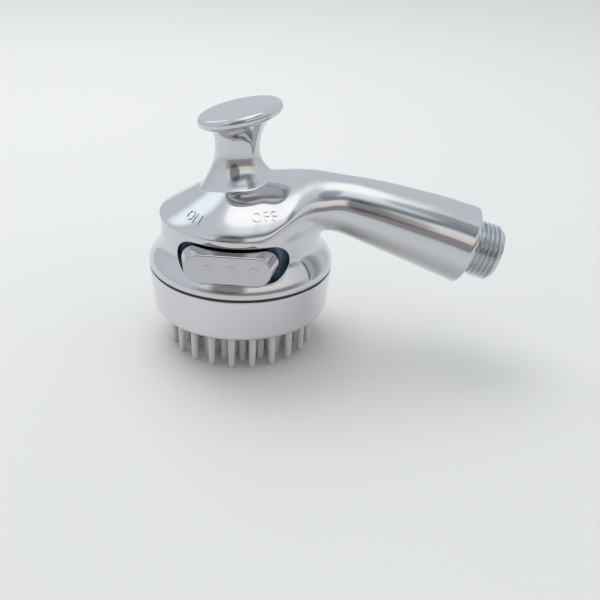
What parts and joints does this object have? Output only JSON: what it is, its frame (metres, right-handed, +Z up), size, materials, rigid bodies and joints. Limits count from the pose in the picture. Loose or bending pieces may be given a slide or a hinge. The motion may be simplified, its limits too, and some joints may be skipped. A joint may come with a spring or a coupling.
{
  "type": "handheld bath sprayer",
  "caption": "Handheld bath sprayer for pets with a round bristle face, finger knob, sliding on-off switch and a straight hollow handle ending in a hose thread.",
  "frame": {"origin": "on the head's axis in the plane of the bristle tips, at the tip of the centre bristle", "axes": "+Z up out of the crown, +X along the side that the handle leaves by, -Y out of the slide switch"},
  "size_m": [0.134, 0.07, 0.0945],
  "materials": {
    "plated_shell": "polished",
    "plated_button": "polished",
    "plated_nipple": "satin",
    "milky_elastomer": "satin",
    "black_rubber": "matte",
    "white_plastic": "satin",
    "dark_plastic": "gloss",
    "screw_steel": "satin"
  },
  "bodies": {
    "sprayer": {"body_shell": "plated_shell", "knob_cap": "plated_shell", "head_gasket": "black_rubber", "head_ring": "plated_shell", "bristle_pad": "milky_elastomer", "spray_plate": "white_plastic", "plate_seal": "black_rubber", "chassis": "white_plastic", "chassis_screws": "screw_steel", "valve_block": "white_plastic", "block_screws": "screw_steel", "outlet_seal": "black_rubber", "inlet_elbow": "white_plastic", "elbow_seal": "black_rubber", "water_tube": "white_plastic", "tube_front_seal": "black_rubber", "tube_rear_seal": "black_rubber", "hose_nipple": "plated_nipple", "nipple_seal": "black_rubber", "flow_restrictor": "white_plastic", "switch_guide": "dark_plastic"},
    "slider": {"switch_button": "plated_button", "switch_carrier": "white_plastic", "valve_spool": "white_plastic", "spool_seals": "black_rubber"}
  },
  "joints": [
    {"name": "switch_slide", "type": "slide", "parent": "sprayer", "child": "slider", "axis": [1, 0, 0], "range_m": [0, 0.003]}
  ]
}
